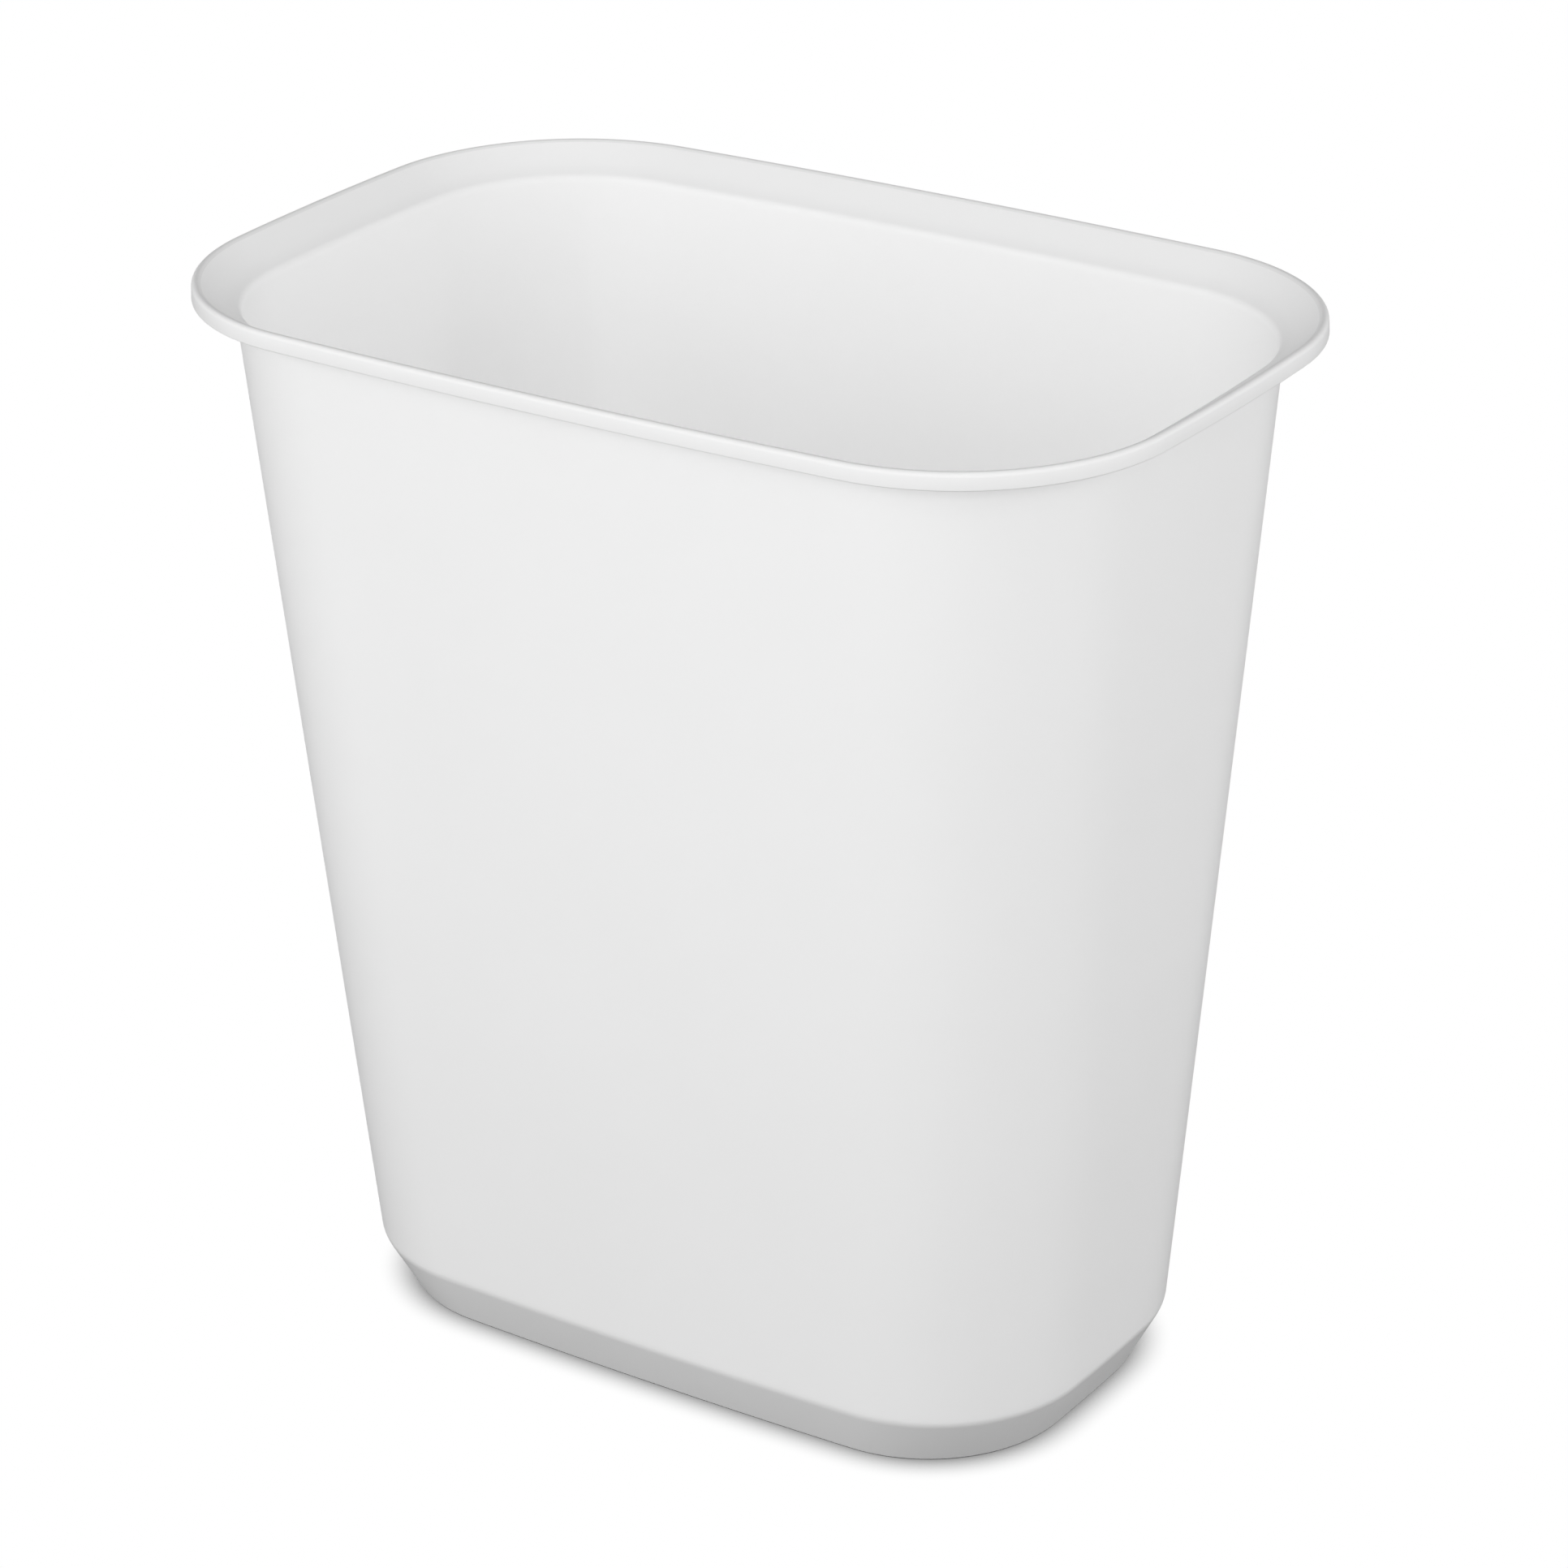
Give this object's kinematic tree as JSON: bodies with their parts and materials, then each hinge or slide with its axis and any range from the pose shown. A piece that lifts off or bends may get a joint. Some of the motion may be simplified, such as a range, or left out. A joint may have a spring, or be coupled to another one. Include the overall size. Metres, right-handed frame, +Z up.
{
  "type": "wastebasket",
  "caption": "Open-top rectangular plastic wastebasket with round corners, tapered walls, a sloping collar with a turned-down lip, and an undercut foot band.",
  "frame": {"origin": "centre of the footprint, on the surface that the basket stands on", "axes": "+Z up, out of the open top; +X along the long way of the mouth; +Y across it"},
  "size_m": [0.306, 0.2, 0.318],
  "materials": {
    "white_plastic": "satin white polypropylene, as moulded"
  },
  "bodies": {
    "root": {"rim_lip": "white_plastic", "rim_collar": "white_plastic", "side_wall": "white_plastic", "foot_band": "white_plastic", "foot_ring": "white_plastic", "floor_panel": "white_plastic"}
  },
  "joints": []
}
